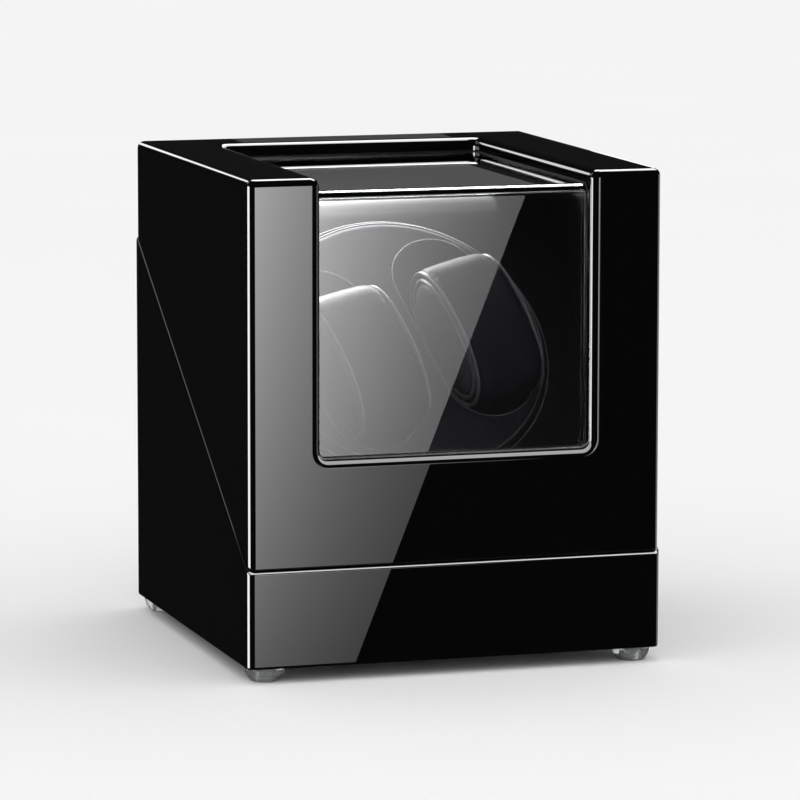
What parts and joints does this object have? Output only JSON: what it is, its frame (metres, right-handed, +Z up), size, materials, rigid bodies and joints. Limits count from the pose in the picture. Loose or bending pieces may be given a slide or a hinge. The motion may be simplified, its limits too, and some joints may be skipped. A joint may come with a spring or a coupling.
{
  "type": "watch winder box",
  "caption": "Gloss black watch winder box with a hinged lid, a bent acrylic window, a tilted turntable with lift-out pillows and a belt drive.",
  "frame": {"origin": "middle of the rectangle around the part, at the height of the feet's undersides", "axes": "+Z up, -Y out of the front window, +X to the right as seen from the front"},
  "size_m": [0.178, 0.19, 0.206],
  "materials": {
    "piano_lacquer": "black piano lacquer on fibreboard, high gloss",
    "bare_board": "raw fibreboard",
    "black_board": "matt black laminated fibreboard",
    "acrylic": "clear bent acrylic",
    "gasket_foam": "matt black foam tape",
    "retainer_plastic": "matt",
    "bumper_clear": "clear bumper, satin",
    "housing_black": "satin black",
    "disc_charcoal": "satin charcoal",
    "pillow_leather": "charcoal imitation leather, fine grain",
    "nylon_white": "satin",
    "belt_rubber": "matt",
    "zinc_plate": "zinc plated",
    "steel": "ground",
    "brass": "turned",
    "bearing_alloy": "cast, satin",
    "chrome": "polished",
    "black_steel": "black, satin",
    "control_black": "fine texture",
    "switch_gloss": "gloss",
    "board_green": "solder mask",
    "terminal_green": "satin"
  },
  "bodies": {
    "base": {"base_case": "piano_lacquer", "bottom_panel": "black_board", "front_left_foot": "bumper_clear", "front_right_foot": "bumper_clear", "rear_left_foot": "bumper_clear", "rear_right_foot": "bumper_clear", "foot_screws": "zinc_plate", "inner_housing": "housing_black", "housing_screws": "black_steel", "left_cleat": "bare_board", "right_cleat": "bare_board", "mechanism_plate": "zinc_plate", "plate_posts": "brass", "plate_screws": "zinc_plate", "bearing_housing": "bearing_alloy", "front_bush": "brass", "rear_bush": "brass", "gearbox_housing": "steel", "motor_can": "steel", "motor_end_cap": "control_black", "motor_screws": "zinc_plate", "drive_belt": "belt_rubber", "control_plate": "control_black", "control_plate_screws": "black_steel", "control_board": "board_green", "board_chip": "control_black", "board_capacitor": "bearing_alloy", "terminal_block": "terminal_green", "mode_switch_body": "control_black", "dc_jack": "control_black", "dc_jack_pin": "brass", "power_switch_housing": "switch_gloss", "left_hinge_base_leaf": "chrome", "right_hinge_base_leaf": "chrome", "left_hinge_pin": "chrome", "right_hinge_pin": "chrome", "hinge_base_screws": "chrome"},
    "lid": {"lid_shell": "piano_lacquer", "window_panel": "acrylic", "window_gasket": "gasket_foam", "window_retainer": "retainer_plastic", "left_hinge_lid_leaf": "chrome", "right_hinge_lid_leaf": "chrome", "hinge_lid_screws": "chrome"},
    "turntable": {"turntable_disc": "disc_charcoal", "left_pillow_cup": "disc_charcoal", "right_pillow_cup": "disc_charcoal", "turntable_hub": "nylon_white", "hub_screws": "zinc_plate", "turntable_shaft": "steel", "driven_pulley": "nylon_white", "retaining_ring": "steel"},
    "left_pillow_body": {"left_pillow": "pillow_leather"},
    "right_pillow_body": {"right_pillow": "pillow_leather"},
    "motor_output": {"motor_output_shaft": "steel", "motor_pulley": "nylon_white"},
    "mode_selector": {"mode_knob": "control_black", "mode_switch_shaft": "steel"},
    "power_switch": {"power_rocker": "switch_gloss"}
  },
  "joints": [
    {"name": "lid_hinge", "type": "hinge", "parent": "base", "child": "lid", "pos_m": [0, 0.0892, 0.166], "axis": [-1, 0, 0], "range_deg": [0, 95]},
    {"name": "turntable_spin", "type": "hinge", "parent": "base", "child": "turntable", "pos_m": [0, -0.0185, 0.1251], "axis": [0, -0.7771, 0.6293], "continuous": true},
    {"name": "left_pillow_lift", "type": "slide", "parent": "turntable", "child": "left_pillow_body", "axis": [0, -0.7771, 0.6293], "range_m": [0, 0.018]},
    {"name": "right_pillow_lift", "type": "slide", "parent": "turntable", "child": "right_pillow_body", "axis": [0, -0.7771, 0.6293], "range_m": [0, 0.018]},
    {"name": "motor_output_spin", "type": "hinge", "parent": "base", "child": "motor_output", "pos_m": [0, -0.0288, 0.07425], "axis": [0, -0.7771, 0.6293], "continuous": true},
    {"name": "mode_knob_turn", "type": "hinge", "parent": "base", "child": "mode_selector", "pos_m": [0.022, 0.092, 0.056], "axis": [0, 1, 0], "range_deg": [0, 90]},
    {"name": "power_rocker_tilt", "type": "hinge", "parent": "base", "child": "power_switch", "pos_m": [-0.024, 0.084, 0.056], "axis": [0, 0, -1], "range_deg": [0, 12]}
  ],
  "couplings": [
    {"joint": "motor_output_spin", "follows": "turntable_spin", "ratio": 4}
  ]
}
